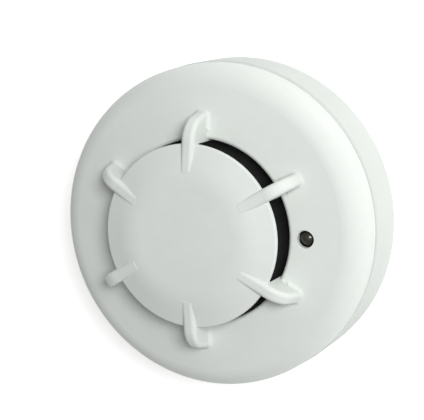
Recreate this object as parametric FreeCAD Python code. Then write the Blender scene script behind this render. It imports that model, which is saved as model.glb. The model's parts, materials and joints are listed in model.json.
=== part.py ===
import FreeCAD, Part
import math
import os

# Ceiling heat detector: a round base with wiring terminals and a twist-off
# head. Millimetres. The mounting face is on z = 0 and the head points to +Z,
# with the indicator lamp on the +X side.

# ---- Base -----------------------------------------------------------------
base_radius = 50.0
base_height = 16.8
base_wall = 2.0
base_floor = 2.5
edge_round = 0.6
cable_hole_radius = 14.0
slot_width = 4.5
slot_length = 10.0
slot_spacing_x = 60.0
slot_spacing_y = 50.0

# ---- Bayonet between base and head ----------------------------------------
bayonet_count = 3
ledge_depth = 3.1
ledge_thickness = 2.0
ledge_drop = 2.4
ledge_clearance = 0.4
lug_thickness = 2.0
lug_axial_clearance = 0.2
lug_wall_clearance = 0.6
lug_half_angle = 9.0
lug_stop_angle = 0.5
stop_width_angle = 3.0
twist_angle = 20.0
ledge_overrun_angle = 1.0
spigot_wall = 1.8
spigot_depth = 9.4

# ---- Cover ----------------------------------------------------------------
seam_gap = 0.6
cover_inset = 0.4
cover_height = 15.9
cover_wall = 2.0
shoulder_radius = 7.2
crown_radius = 235.0
opening_radius = 28.0
opening_lip = 1.2
collar_width = 2.0
collar_depth = 4.3

# ---- Cap and ribs ---------------------------------------------------------
rib_count = 6
first_rib_angle = 30.0
cap_clearance = 0.5
cap_lift = 8.2
cap_shoulder_rise = 2.8
cap_shoulder_width = 8.6
cap_thickness = 1.8
cap_rim_thickness = 1.5
cap_blend_radius = 22.0
cap_rim_round = 0.5
rib_thickness = 4.0
rib_proud = 1.4
rib_elbow_radius = 8.0
rib_elbow_inset = 0.2
rib_inner_radius = 4.0
rib_lean_angle = 15.0
rib_start_inset = 8.0
rib_cover_left = 0.2
rib_edge_round = 1.3
rib_foot_fillet = 1.2
web_reach_in = 0.6
web_depth = 1.5
web_overlap = 1.0
foot_search_band = 0.12

# ---- Inside the head ------------------------------------------------------
housing_thickness = 2.0
housing_clearance = 0.3
board_gap = 2.6
board_thickness = 1.6
shield_gap = 1.8
shield_wall = 1.2
shield_flange = 2.1
shield_inner_clearance = 1.2
shield_leg_radius = 2.0
shield_leg_inset = 4.8
gasket_thickness = 0.5
screw_count = 3
first_screw_angle = 75.0
boss_radius = 3.0
boss_notch_clearance = 0.4
boss_to_spigot = 0.5
standoff_radius = 2.5
standoff_offset = 8.2

# ---- Screws ---------------------------------------------------------------
cover_screw_radius = 1.4
cover_screw_length = 8.0
cover_screw_head_radius = 2.8
cover_screw_head_height = 2.2
thread_clearance = 0.05
pilot_extra_depth = 1.5
terminal_screw_radius = 1.75
terminal_screw_head_radius = 3.5
terminal_screw_head_height = 2.2
terminal_screw_tip = 1.8
terminal_hole_floor = 1.0
washer_size = 8.0
washer_thickness = 1.0
recess_width = 1.0
recess_depth = 1.3

# ---- Terminals and contacts -----------------------------------------------
terminal_count = 4
first_terminal_angle = 45.0
block_height = 3.0
block_inner_margin = 12.5
block_outer_margin = 3.5
block_front = 5.5
block_back = 11.5
plate_inset = 0.5
plate_thickness = 0.8
plate_corner = 1.5
terminal_screw_inset = 7.5
terminal_screw_offset = -3.0
contact_orbit = 34.0
contact_width = 5.0
spring_thickness = 0.4
spring_crest = 2.8
spring_bend = 1.2
rivet_radius = 1.2
rivet_head_radius = 2.0
rivet_head_height = 0.6
rivet_offset = -8.3
contact_gap = 0.3
blade_thickness = 0.8
blade_foot_half = 3.0
blade_flange_width = 4.0
blade_flange_end = -10.0
blade_bend = 1.0
post_radius = 1.5
post_head_radius = 2.0
post_head_height = 0.8
post_offset = -7.0
post_board_stand = 0.8

# ---- Sensor, lamp and components ------------------------------------------
sleeve_radius = 2.6
sleeve_bore = 1.4
sleeve_flange_radius = 4.5
sleeve_flange_height = 1.0
sleeve_height = 8.0
bead_radius = 1.6
bead_height = 11.0
lead_radius = 0.3
lead_pitch = 1.4
lead_tail = 1.5
led_radius = 2.5
led_flange_radius = 2.9
led_flange_height = 1.0
led_height = 7.6
led_clearance = 0.1
led_orbit_offset = 5.0
led_hole_chamfer = 0.25
led_pitch = 2.54
spacer_height = 0.6
part_orbit_offset = 8.3
capacitor_radius = 2.5
capacitor_height = 5.4
capacitor_angle = 100.0
rectifier_angle = 152.0
rectifier_size = (5.0, 4.0, 2.3)
suppressor_angle = 254.0
suppressor_radius = 2.5
suppressor_thickness = 2.4
transistor_angle = 334.0
transistor_size = (6.5, 3.5, 1.6)
reference_angle = 175.0
reference_radius = 1.1
reference_height = 3.0
controller_size = 7.0
controller_height = 1.1
controller_leads = 8
chip_lead_height = 0.15
chip_lead_width = 0.35
chip_lead_length = 1.0
controller_place = (-11.0, 10.0)
resistor_count = 10
resistor_size = (2.0, 1.25, 0.5)
resistor_orbit = 16.5
resistor_arc = (-150.0, 60.0)
chip_cap_count = 6
chip_cap_size = (1.6, 0.8, 0.8)
chip_cap_orbit = 11.5
label_radius = 18.0
label_thickness = 0.15

# ---- Heights and radii worked out from the sizes above ---------------------
cover_radius = base_radius - cover_inset
rim_z = base_height + seam_gap
face_z = rim_z + cover_height
cap_radius = opening_radius - cap_clearance
cap_rim_z = face_z + cap_lift
cap_top_z = cap_rim_z + cap_shoulder_rise
cap_flat_radius = cap_radius - cap_shoulder_width
wall_inner = base_radius - base_wall
ledge_inner = wall_inner - ledge_depth
ledge_top = base_height - ledge_drop
ledge_bottom = ledge_top - ledge_thickness
lug_top = ledge_bottom - lug_axial_clearance
lug_bottom = lug_top - lug_thickness
spigot_outer = ledge_inner - ledge_clearance
spigot_inner = spigot_outer - spigot_wall
spigot_bottom = rim_z - spigot_depth
lug_outer = wall_inner - lug_wall_clearance
housing_top = rim_z + housing_thickness
housing_radius = cover_radius - cover_wall - housing_clearance
board_bottom = housing_top + board_gap
board_top = board_bottom + board_thickness
shield_bottom = board_top + shield_gap
shield_floor_top = shield_bottom + shield_wall
collar_bottom = face_z - collar_depth
collar_outer = opening_radius + collar_width
shield_top = collar_bottom - gasket_thickness
shield_inner = opening_radius - shield_inner_clearance
shield_flange_radius = opening_radius + shield_flange
shield_leg_orbit = shield_inner - shield_leg_inset
screw_orbit = spigot_inner - boss_to_spigot - boss_radius
standoff_orbit = screw_orbit - standoff_offset
board_radius = screw_orbit + boss_radius
block_top = base_floor + block_height
plate_top = block_top + plate_thickness
block_outer = contact_orbit + block_outer_margin
block_inner = contact_orbit - block_inner_margin
terminal_screw_orbit = contact_orbit - terminal_screw_inset
crest_z = plate_top + spring_crest + spring_thickness
blade_bottom = crest_z + contact_gap
led_orbit = opening_radius + led_orbit_offset
part_orbit = opening_radius + part_orbit_offset
led_bottom = board_top + spacer_height

# ---- The cover's dome: a crown arc, tangent to a shoulder arc --------------
crown_centre_z = face_z - math.sqrt(crown_radius ** 2 - opening_radius ** 2)
shoulder_x = cover_radius - shoulder_radius
shoulder_reach = crown_radius - shoulder_radius
shoulder_z = crown_centre_z + math.sqrt(shoulder_reach ** 2 - shoulder_x ** 2)
shoulder_angle = math.atan2(shoulder_z - crown_centre_z, shoulder_x)


# ---- Small helpers ---------------------------------------------------------
def flat(a, b):
    return FreeCAD.Vector(a, b, 0)


def upright(a, b):
    return FreeCAD.Vector(a, 0, b)


def sideways(a, b):
    return FreeCAD.Vector(0, a, b)


def arc(start, middle, end):
    return Part.Arc(start, middle, end).toShape()


def line(start, end):
    return Part.LineSegment(start, end).toShape()


def corner_arc(before, corner, after, radius):
    """Ends and middle of the arc that rounds one corner."""
    to_before = (before - corner).normalize()
    to_after = (after - corner).normalize()
    half = to_before.getAngle(to_after) / 2
    inward = (to_before + to_after).normalize()
    reach = radius / math.tan(half)
    centre = corner + inward * (radius / math.sin(half))
    return corner + to_before * reach, centre - inward * radius, corner + to_after * reach


def rounded_face(corners, plane):
    """Closed face with straight sides; a corner is (a, b) or (a, b, radius)."""
    points = [plane(c[0], c[1]) for c in corners]
    radii = [c[2] if len(c) > 2 else 0 for c in corners]
    count = len(points)
    starts, ends, edges = [], [], []
    for i in range(count):
        if radii[i] > 0:
            spot = corner_arc(points[i - 1], points[i], points[(i + 1) % count], radii[i])
            edges.append((i, arc(*spot)))
            starts.append(spot[0])
            ends.append(spot[2])
        else:
            starts.append(points[i])
            ends.append(points[i])
    for i in range(count):
        edges.append((i + 0.5, line(ends[i], starts[(i + 1) % count])))
    ordered = [edge for place, edge in sorted(edges, key=lambda item: item[0])]
    return Part.Face(Part.Wire(ordered))


def spun(face):
    return face.revolve(FreeCAD.Vector(0, 0, 0), FreeCAD.Vector(0, 0, 1), 360)


def disc(radius, bottom, top, x=0.0, y=0.0):
    return Part.makeCylinder(radius, top - bottom, FreeCAD.Vector(x, y, bottom))


def ring(inner, outer, bottom, top):
    return disc(outer, bottom, top).cut(disc(inner, bottom, top))


def block(x0, x1, y0, y1, z0, z1):
    return Part.makeBox(x1 - x0, y1 - y0, z1 - z0, FreeCAD.Vector(x0, y0, z0))


def turned(shape, angle):
    copy = shape.copy()
    copy.rotate(FreeCAD.Vector(0, 0, 0), FreeCAD.Vector(0, 0, 1), angle)
    return copy


def moved(shape, x, y, z=0.0):
    copy = shape.copy()
    copy.translate(FreeCAD.Vector(x, y, z))
    return copy


def sector(inner, outer, bottom, top, start, end):
    """Piece of a ring between two angles."""
    origin = FreeCAD.Vector(0, 0, bottom)
    axis = FreeCAD.Vector(0, 0, 1)
    pie = Part.makeCylinder(outer, top - bottom, origin, axis, end - start)
    return turned(pie, start).cut(disc(inner, bottom, top))


def around(shape, count, first=0.0):
    """Copies of a shape spread evenly about the Z axis."""
    return [turned(shape, first + 360.0 * k / count) for k in range(count)]


def strip_face(path, thickness, bend, plane):
    """Section of a bent strip: a centre line given thickness, with round bends."""
    points = [FreeCAD.Vector(a, b, 0) for a, b in path]
    sides = []
    for side in (1, -1):
        row = []
        for i, point in enumerate(points):
            before = points[max(i - 1, 0)]
            after = points[min(i + 1, len(points) - 1)]
            come = (point - before) if i > 0 else (after - point)
            go = (after - point) if i < len(points) - 1 else come
            come.normalize()
            go.normalize()
            normal_in = FreeCAD.Vector(-come.y, come.x, 0)
            normal_out = FreeCAD.Vector(-go.y, go.x, 0)
            miter = (normal_in + normal_out).normalize()
            reach = thickness / 2 / miter.dot(normal_in)
            spot = point + miter * (reach * side)
            turn = come.x * go.y - come.y * go.x
            radius = 0 if abs(turn) < 1e-6 else bend - side * math.copysign(thickness / 2, turn)
            row.append((spot.x, spot.y, radius))
        sides.append(row)
    return rounded_face(sides[0] + sides[1][::-1], plane)


def crown_height(radius, offset=0.0):
    """Height of the dome's crown, a wall thickness or other offset inside it."""
    return crown_centre_z + math.sqrt((crown_radius - offset) ** 2 - radius ** 2)


def seen_along(edge, start, end):
    """True for a level-sided edge that runs between two points as seen along Y."""
    ends = [vertex.Point for vertex in edge.Vertexes]
    if edge.BoundBox.YLength > 1e-6 or len(ends) < 2:
        return False
    seen = [upright(point.x, point.z) for point in ends]
    straight = seen[0].isEqual(start, 1e-6) and seen[1].isEqual(end, 1e-6)
    reverse = seen[0].isEqual(end, 1e-6) and seen[1].isEqual(start, 1e-6)
    return straight or reverse


def dome_edges(inner_radius, bottom, offset):
    """Dome outline from its wall's foot up and in to a radius on the crown."""
    wall = cover_radius - offset
    small = shoulder_radius - offset
    large = crown_radius - offset
    middle = shoulder_angle / 2
    foot = upright(wall, bottom)
    bend = upright(wall, shoulder_z)
    bend_middle = upright(
        shoulder_x + small * math.cos(middle), shoulder_z + small * math.sin(middle)
    )
    join = upright(
        large * math.cos(shoulder_angle), crown_centre_z + large * math.sin(shoulder_angle)
    )
    half_way = (join.x + inner_radius) / 2
    crown_middle = upright(half_way, crown_height(half_way, offset))
    crown_end = upright(inner_radius, crown_height(inner_radius, offset))
    return [
        line(foot, bend),
        arc(bend, bend_middle, join),
        arc(join, crown_middle, crown_end),
    ]


def dome_solid(offset):
    """Everything under the dome, at an offset inside its outer surface."""
    edges = dome_edges(0.0, rim_z, offset)
    top = upright(0, crown_height(0, offset))
    middle = upright(0, rim_z)
    edges.append(line(top, middle))
    edges.append(line(middle, upright(cover_radius - offset, rim_z)))
    return spun(Part.Face(Part.Wire(Part.sortEdges(edges)[0])))


# ---- Base ------------------------------------------------------------------
def slot(along_x):
    """Long hole for a fixing screw, centred on the Z axis."""
    reach = (slot_length - slot_width) / 2
    radius = slot_width / 2
    top = base_floor
    ends = [disc(radius, 0, top, side * reach, 0) for side in (1, -1)]
    shape = block(-reach, reach, -radius, radius, 0, top).fuse(ends)
    return shape if along_x else turned(shape, 90)


def base_shell():
    return spun(rounded_face([
        (cable_hole_radius, 0),
        (base_radius, 0, edge_round),
        (base_radius, base_height, edge_round),
        (wall_inner, base_height),
        (wall_inner, base_floor, edge_round),
        (cable_hole_radius, base_floor),
    ], upright))


def bayonet_catch():
    """Ledge over a lug at rest, its end stop, and the guide at the far end."""
    overlap = edge_round / 2
    outer = wall_inner + overlap
    stop_end = -lug_half_angle - lug_stop_angle
    stop_start = stop_end - stop_width_angle
    ledge_end = lug_half_angle + ledge_overrun_angle
    guide_start = lug_half_angle + twist_angle + lug_stop_angle
    guide_end = guide_start + stop_width_angle
    ledge = sector(ledge_inner, outer, ledge_bottom, ledge_top, stop_start, ledge_end)
    stop = sector(ledge_inner, outer, lug_bottom, ledge_bottom, stop_start, stop_end)
    guide = sector(ledge_inner, outer, lug_bottom, ledge_top, guide_start, guide_end)
    return ledge.fuse([stop, guide])


def terminal_block():
    """Raised pad of the base under one terminal plate."""
    pad = rounded_face([
        (block_inner, -block_back, plate_corner),
        (block_outer, -block_back, plate_corner),
        (block_outer, block_front, plate_corner),
        (block_inner, block_front, plate_corner),
    ], flat)
    pad.translate(FreeCAD.Vector(0, 0, base_floor))
    return pad.extrude(FreeCAD.Vector(0, 0, block_height))


def terminal_holes():
    screw_hole = disc(
        terminal_screw_radius + thread_clearance,
        terminal_hole_floor, block_top,
        terminal_screw_orbit, terminal_screw_offset,
    )
    rivet_hole = disc(rivet_radius, base_floor, block_top, contact_orbit, rivet_offset)
    return [screw_hole, rivet_hole]


def mounting_base():
    blocks = around(terminal_block(), terminal_count, first_terminal_angle)
    catches = around(bayonet_catch(), bayonet_count)
    shape = base_shell().fuse(blocks + catches)
    half_x = slot_spacing_x / 2
    half_y = slot_spacing_y / 2
    cuts = [moved(slot(True), side * half_x, 0) for side in (1, -1)]
    cuts += [moved(slot(False), 0, side * half_y) for side in (1, -1)]
    for hole in terminal_holes():
        cuts += around(hole, terminal_count, first_terminal_angle)
    return shape.cut(cuts).removeSplitter()


# ---- Terminals in the base -------------------------------------------------
def terminal_plate():
    inner = block_inner + plate_inset
    outer = block_outer - plate_inset
    back = -block_back + plate_inset
    front = block_front - plate_inset
    face = rounded_face([
        (inner, back, plate_corner),
        (outer, back, plate_corner),
        (outer, front, plate_corner),
        (inner, front, plate_corner),
    ], flat)
    face.translate(FreeCAD.Vector(0, 0, block_top))
    plate = face.extrude(FreeCAD.Vector(0, 0, plate_thickness))
    screw_hole = disc(
        terminal_screw_radius + thread_clearance,
        block_top, plate_top,
        terminal_screw_orbit, terminal_screw_offset,
    )
    rivet_hole = disc(rivet_radius, block_top, plate_top, contact_orbit, rivet_offset)
    return plate.cut([screw_hole, rivet_hole])


def contact_spring():
    """Leaf spring, riveted at one end, with its crest under the blade's foot."""
    low = plate_top + spring_thickness / 2
    high = crest_z - spring_thickness / 2
    back = -block_back + plate_inset + spring_thickness
    rise = rivet_offset + rivet_head_radius + spring_bend
    path = [
        (back, low),
        (rise, low),
        (-spring_bend, high),
        (spring_bend, high),
        (block_front - plate_inset, plate_top + spring_crest / 2),
    ]
    section = strip_face(path, spring_thickness, spring_bend, sideways)
    leaf = section.extrude(FreeCAD.Vector(contact_width, 0, 0))
    leaf = moved(leaf, contact_orbit - contact_width / 2, 0)
    top = plate_top + spring_thickness
    return leaf.cut(disc(rivet_radius, plate_top, top, contact_orbit, rivet_offset))


def spring_rivet():
    top = plate_top + spring_thickness
    head = spun(rounded_face([
        (0, top),
        (rivet_head_radius, top),
        (rivet_head_radius, top + rivet_head_height, rivet_head_height / 2),
        (0, top + rivet_head_height),
    ], upright))
    return moved(head.fuse(disc(rivet_radius, base_floor, top)), contact_orbit, rivet_offset)


def cross_recess(top):
    """Cross-shaped driver recess under a screw head's top, at the Z axis."""
    half = recess_width / 2
    long_half = 2 * recess_width
    bottom = top - recess_depth
    across = block(-long_half, long_half, -half, half, bottom, top)
    return across.fuse(turned(across, 90))


def pan_screw(radius, length, head_radius, head_height):
    """Pan-head screw along Z: the head stands on z = 0, the shank hangs below."""
    section = rounded_face([
        (0, -length),
        (radius / 2, -length),
        (radius, -length + radius),
        (radius, 0),
        (head_radius, 0),
        (head_radius, head_height, head_height / 2),
        (0, head_height),
    ], upright)
    return spun(section).cut(cross_recess(head_height))


def terminal_screw():
    seat = plate_top + washer_thickness
    screw = pan_screw(
        terminal_screw_radius, seat - terminal_screw_tip,
        terminal_screw_head_radius, terminal_screw_head_height,
    )
    return moved(screw, terminal_screw_orbit, terminal_screw_offset, seat)


def clamp_washer():
    half = washer_size / 2
    top = plate_top + washer_thickness
    plate = block(-half, half, -half, half, plate_top, top)
    hole = disc(terminal_screw_radius + thread_clearance, plate_top, top)
    return moved(plate.cut(hole), terminal_screw_orbit, terminal_screw_offset)


# ---- Front cover -----------------------------------------------------------
def cover_shell():
    lip_start = opening_radius + opening_lip
    lip_top = crown_height(lip_start)
    corner = upright(opening_radius, lip_top - opening_lip)
    slant = opening_lip * (1 - math.sqrt(0.5))
    lip_middle = upright(opening_radius + slant, lip_top - slant)
    edges = dome_edges(lip_start, rim_z, 0)
    edges.append(arc(upright(lip_start, lip_top), lip_middle, corner))
    inner_start = upright(collar_outer, crown_height(collar_outer, cover_wall))
    collar = [
        corner,
        upright(opening_radius, collar_bottom),
        upright(collar_outer, collar_bottom),
        inner_start,
    ]
    edges += [line(a, b) for a, b in zip(collar, collar[1:])]
    edges += dome_edges(collar_outer, rim_z, cover_wall)
    edges.append(line(upright(cover_radius - cover_wall, rim_z), upright(cover_radius, rim_z)))
    shell = spun(Part.Face(Part.Wire(Part.sortEdges(edges)[0])))
    rim = [
        edge for edge in shell.Edges
        if abs(edge.BoundBox.ZMax - rim_z) < 1e-6
        and abs(edge.BoundBox.XMax - cover_radius) < 1e-6
        and edge.BoundBox.ZLength < 1e-6
    ]
    return shell.makeFillet(edge_round, rim)


def cap():
    under_top = cap_top_z - cap_thickness
    rim_bottom = cap_rim_z - cap_rim_thickness
    return spun(rounded_face([
        (0, cap_top_z),
        (cap_flat_radius, cap_top_z, cap_blend_radius),
        (cap_radius, cap_rim_z, cap_rim_round),
        (cap_radius, rim_bottom, cap_rim_round / 2),
        (cap_radius - cap_rim_thickness, rim_bottom),
        (cap_flat_radius, under_top),
        (0, under_top),
    ], upright))


def rib():
    """Arched blade from the cap's shoulder, out over the opening, to the face."""
    lean = math.radians(rib_lean_angle)
    centre_x = cap_radius - rib_elbow_inset
    shoulder_slope = cap_shoulder_rise / cap_shoulder_width
    top_z = cap_rim_z + rib_elbow_inset * shoulder_slope + rib_proud
    centre_z = top_z - rib_elbow_radius
    start_x = cap_radius - rib_start_inset
    start_z = cap_rim_z + rib_start_inset * shoulder_slope
    half_turn = (math.pi / 2 + lean) / 2
    foot_z = crown_height(centre_x + rib_elbow_radius) - cover_wall / 2
    elbow_end = upright(
        centre_x + rib_elbow_radius * math.cos(lean), centre_z + rib_elbow_radius * math.sin(lean)
    )
    foot_outer = upright(elbow_end.x + (elbow_end.z - foot_z) * math.tan(lean), foot_z)
    foot_inner = upright(centre_x + rib_inner_radius, foot_z)
    elbow_start = upright(centre_x, top_z)
    start = upright(start_x, start_z)
    buried = upright(start_x, start_z - cap_thickness + rib_cover_left)
    outer_middle = upright(
        centre_x + rib_elbow_radius * math.cos(half_turn),
        centre_z + rib_elbow_radius * math.sin(half_turn),
    )
    inner_start = upright(centre_x, centre_z + rib_inner_radius)
    inner_middle = upright(
        centre_x + rib_inner_radius * math.sqrt(0.5), centre_z + rib_inner_radius * math.sqrt(0.5)
    )
    inner_end = upright(centre_x + rib_inner_radius, centre_z)
    edges = [
        line(start, elbow_start),
        arc(elbow_start, outer_middle, elbow_end),
        line(elbow_end, foot_outer),
        line(foot_outer, foot_inner),
        line(foot_inner, inner_end),
        arc(inner_end, inner_middle, inner_start),
        line(inner_start, buried),
        line(buried, start),
    ]
    blade = Part.Face(Part.Wire(edges)).extrude(FreeCAD.Vector(0, rib_thickness, 0))
    blade.translate(FreeCAD.Vector(0, -rib_thickness / 2, 0))
    crest = [
        edge for edge in blade.Edges
        if seen_along(edge, start, elbow_start)
        or seen_along(edge, elbow_start, elbow_end)
        or seen_along(edge, elbow_end, foot_outer)
    ]
    return blade.makeFillet(rib_edge_round, crest)


def rib_feet(shape):
    """Edges where the ribs' feet stand on the crown, outside the opening's lip."""
    lip_end = opening_radius + opening_lip
    edges = []
    for edge in shape.Edges:
        middle = edge.CenterOfMass
        radius = math.hypot(middle.x, middle.y)
        on_crown = abs(middle.z - crown_height(radius)) < foot_search_band
        if on_crown and lip_end < radius < shoulder_x and edge.Length < opening_radius:
            edges.append(edge)
    return edges


def rib_web():
    """Web that fills the space under a rib, down to the opening's wall."""
    centre_x = cap_radius - rib_elbow_inset
    inner = opening_radius - web_reach_in
    outer = centre_x + rib_inner_radius + web_overlap
    bottom = crown_height(outer, cover_wall) + web_depth / 2
    top = cap_rim_z - cap_rim_thickness / 2
    web = rounded_face([
        (inner, bottom - web_depth),
        (opening_radius + web_overlap, bottom - web_depth),
        (outer, bottom),
        (outer, face_z + cap_lift / 2),
        (cap_radius + web_overlap, cap_rim_z - cap_rim_thickness),
        (inner, top),
    ], upright)
    web.translate(FreeCAD.Vector(0, -rib_thickness / 2, 0))
    return web.extrude(FreeCAD.Vector(0, rib_thickness, 0))


def cover_boss():
    column = disc(boss_radius, housing_top, face_z, screw_orbit, 0)
    return column.common(dome_solid(cover_wall / 2))


def pilot_hole():
    top = rim_z + cover_screw_length + pilot_extra_depth
    radius = cover_screw_radius + thread_clearance
    return disc(radius, housing_top, top, screw_orbit, 0)


def led_hole():
    """Hole for the lamp, with a small chamfer at the cover's outer face."""
    radius = led_radius + led_clearance
    surface = crown_height(led_orbit)
    bottom = surface - 2 * cover_wall
    bore = disc(radius, bottom, surface + cover_wall, led_orbit, 0)
    cone = Part.makeCone(
        radius, radius + 2 * led_hole_chamfer, 2 * led_hole_chamfer,
        FreeCAD.Vector(led_orbit, 0, surface - led_hole_chamfer),
    )
    return bore.fuse(cone)


def front_cover():
    ribs = around(rib(), rib_count, first_rib_angle)
    bosses = around(cover_boss(), screw_count, first_screw_angle)
    ribbed = cover_shell().fuse(ribs).removeSplitter()
    ribbed = ribbed.makeFillet(rib_foot_fillet, rib_feet(ribbed))
    webs = around(rib_web(), rib_count, first_rib_angle)
    shape = ribbed.fuse([cap()] + webs + bosses)
    holes = around(pilot_hole(), screw_count, first_screw_angle)
    return shape.cut(holes + [led_hole()]).removeSplitter()


# ---- Rear housing ----------------------------------------------------------
def contact_place(shape):
    """Copies of a contact's shape, one over each terminal."""
    return around(shape, terminal_count, first_terminal_angle)


def rear_housing():
    plate = disc(housing_radius, rim_z, housing_top)
    spigot = ring(spigot_inner, spigot_outer, spigot_bottom, rim_z)
    overlap = spigot_wall / 2
    lug = sector(
        spigot_outer - overlap, lug_outer, lug_bottom, lug_top, -lug_half_angle, lug_half_angle
    )
    standoff = disc(standoff_radius, housing_top, board_bottom, standoff_orbit, 0)
    pieces = [spigot]
    pieces += around(lug, bayonet_count)
    pieces += around(standoff, screw_count, first_screw_angle)
    screw_hole = disc(
        cover_screw_radius + thread_clearance, rim_z, housing_top, screw_orbit, 0
    )
    post_hole = disc(post_radius, rim_z, housing_top, contact_orbit, post_offset)
    holes = around(screw_hole, screw_count, first_screw_angle) + contact_place(post_hole)
    return plate.fuse(pieces).cut(holes).removeSplitter()


def housing_screw():
    screw = pan_screw(
        cover_screw_radius, cover_screw_length,
        cover_screw_head_radius, cover_screw_head_height,
    )
    screw.rotate(FreeCAD.Vector(0, 0, 0), FreeCAD.Vector(1, 0, 0), 180)
    return moved(screw, screw_orbit, 0, rim_z)


def contact_blade():
    """Z-shaped strip: a flange under the housing, a leg, and a foot over the spring."""
    foot_z = blade_bottom + blade_thickness / 2
    flange_z = rim_z - blade_thickness / 2
    leg = -blade_foot_half
    path = [(blade_foot_half, foot_z), (leg, foot_z), (leg, flange_z), (blade_flange_end, flange_z)]
    section = strip_face(path, blade_thickness, blade_bend, sideways)
    blade = section.extrude(FreeCAD.Vector(blade_flange_width, 0, 0))
    blade = moved(blade, contact_orbit - blade_flange_width / 2, 0)
    hole = disc(post_radius, rim_z - blade_thickness, rim_z, contact_orbit, post_offset)
    return blade.cut(hole)


def contact_post():
    seat = rim_z - blade_thickness
    head = spun(rounded_face([
        (0, seat),
        (post_head_radius, seat),
        (post_head_radius, seat - post_head_height, post_head_height / 2),
        (0, seat - post_head_height),
    ], upright))
    shank = disc(post_radius, seat, board_top + post_board_stand)
    return moved(head.fuse(shank), contact_orbit, post_offset)


def rating_label():
    return disc(label_radius, rim_z - label_thickness, rim_z)


# ---- Board, shield and sensor ----------------------------------------------
def circuit_board():
    board = disc(board_radius, board_bottom, board_top)
    notch = disc(boss_radius + boss_notch_clearance, board_bottom, board_top, screw_orbit, 0)
    post_hole = disc(post_radius, board_bottom, board_top, contact_orbit, post_offset)
    lead = disc(lead_radius, board_bottom, board_top)
    cuts = around(notch, screw_count, first_screw_angle) + contact_place(post_hole)
    cuts += [moved(lead, 0, side * lead_pitch / 2) for side in (1, -1)]
    cuts += [moved(lead, led_orbit, side * led_pitch / 2) for side in (1, -1)]
    return board.cut(cuts)


def chamber_shield():
    """Black dish that closes the sensing chamber off from the board."""
    outer = shield_inner + shield_wall
    dish = spun(rounded_face([
        (sleeve_radius, shield_bottom),
        (outer, shield_bottom, shield_wall),
        (outer, shield_top - shield_wall),
        (shield_flange_radius, shield_top - shield_wall),
        (shield_flange_radius, shield_top),
        (shield_inner, shield_top),
        (shield_inner, shield_floor_top, shield_wall / 2),
        (sleeve_radius, shield_floor_top),
    ], upright))
    leg = disc(shield_leg_radius, board_top, shield_bottom + shield_wall / 2, shield_leg_orbit, 0)
    return dish.fuse(around(leg, screw_count, first_screw_angle)).removeSplitter()


def shield_gasket():
    return ring(opening_radius, collar_outer, shield_top, collar_bottom)


def thermistor_sleeve():
    bottom = shield_bottom - shield_gap / 2
    top = shield_floor_top + sleeve_height
    flange_top = shield_floor_top + sleeve_flange_height
    return spun(rounded_face([
        (sleeve_bore, bottom),
        (sleeve_radius, bottom),
        (sleeve_radius, shield_floor_top),
        (sleeve_flange_radius, shield_floor_top),
        (sleeve_flange_radius, flange_top),
        (sleeve_radius, flange_top),
        (sleeve_radius, top, edge_round),
        (sleeve_bore, top),
    ], upright))


def two_leads(pitch, bottom, top):
    return [disc(lead_radius, bottom, top, 0, side * pitch / 2) for side in (1, -1)]


def sensing_thermistor():
    """Resin bead on two leads, held in the air path under the cap."""
    centre = shield_floor_top + bead_height
    bead = Part.makeSphere(bead_radius, FreeCAD.Vector(0, 0, centre))
    leads = two_leads(lead_pitch, board_bottom - lead_tail / 2, centre)
    return bead.fuse(leads).removeSplitter()


def reference_thermistor():
    centre = board_top + reference_height
    bead = Part.makeSphere(reference_radius, FreeCAD.Vector(0, 0, centre))
    leads = two_leads(lead_pitch, board_top, centre)
    return turned(moved(bead.fuse(leads), part_orbit, 0), reference_angle)


def indicator_led():
    """Lamp with a domed lens, a flange and two leads."""
    top = led_bottom + led_height
    flange_top = led_bottom + led_flange_height
    body = spun(rounded_face([
        (0, led_bottom),
        (led_flange_radius, led_bottom),
        (led_flange_radius, flange_top),
        (led_radius, flange_top),
        (led_radius, top, led_radius * 0.96),
        (0, top),
    ], upright))
    leads = two_leads(led_pitch, board_bottom - lead_tail / 2, led_bottom)
    return moved(body.fuse(leads), led_orbit, 0)


def led_spacer():
    washer = disc(led_flange_radius, board_top, led_bottom)
    return moved(washer.cut(two_leads(led_pitch, board_top, led_bottom)), led_orbit, 0)


# ---- Components on the board -----------------------------------------------
def leaded_chip(length, width, height, leads):
    """Moulded body with a row of flat leads on each long side."""
    body_bottom = board_top + chip_lead_height / 2
    body = block(-length / 2, length / 2, -width / 2, width / 2, body_bottom, body_bottom + height)
    pitch = length / leads
    reach = width / 2 + chip_lead_length
    half = chip_lead_width / 2
    rows = []
    for i in range(leads):
        x = (i - (leads - 1) / 2) * pitch
        rows.append(block(x - half, x + half, -reach, reach, board_top, board_top + chip_lead_height))
    return body.fuse(rows)


def microcontroller():
    size = controller_size
    chip = leaded_chip(size, size, controller_height, controller_leads)
    chip = chip.fuse(turned(chip, 90))
    return moved(chip, *controller_place)


def bridge_rectifier():
    length, width, height = rectifier_size
    return turned(moved(leaded_chip(length, width, height, 2), part_orbit, 0), rectifier_angle)


def line_transistor():
    length, width, height = transistor_size
    chip = turned(leaded_chip(length, width, height, 3), 90)
    return turned(moved(chip, part_orbit, 0), transistor_angle)


def smoothing_capacitor():
    """Electrolytic can with a rolled groove above its foot."""
    groove = capacitor_height / 5
    groove_depth = capacitor_radius / 10
    can = spun(rounded_face([
        (0, board_top),
        (capacitor_radius, board_top),
        (capacitor_radius, board_top + groove),
        (capacitor_radius - groove_depth, board_top + groove + groove_depth),
        (capacitor_radius, board_top + groove + 2 * groove_depth),
        (capacitor_radius, board_top + capacitor_height, groove_depth),
        (0, board_top + capacitor_height),
    ], upright))
    return turned(moved(can, part_orbit, 0), capacitor_angle)


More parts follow.
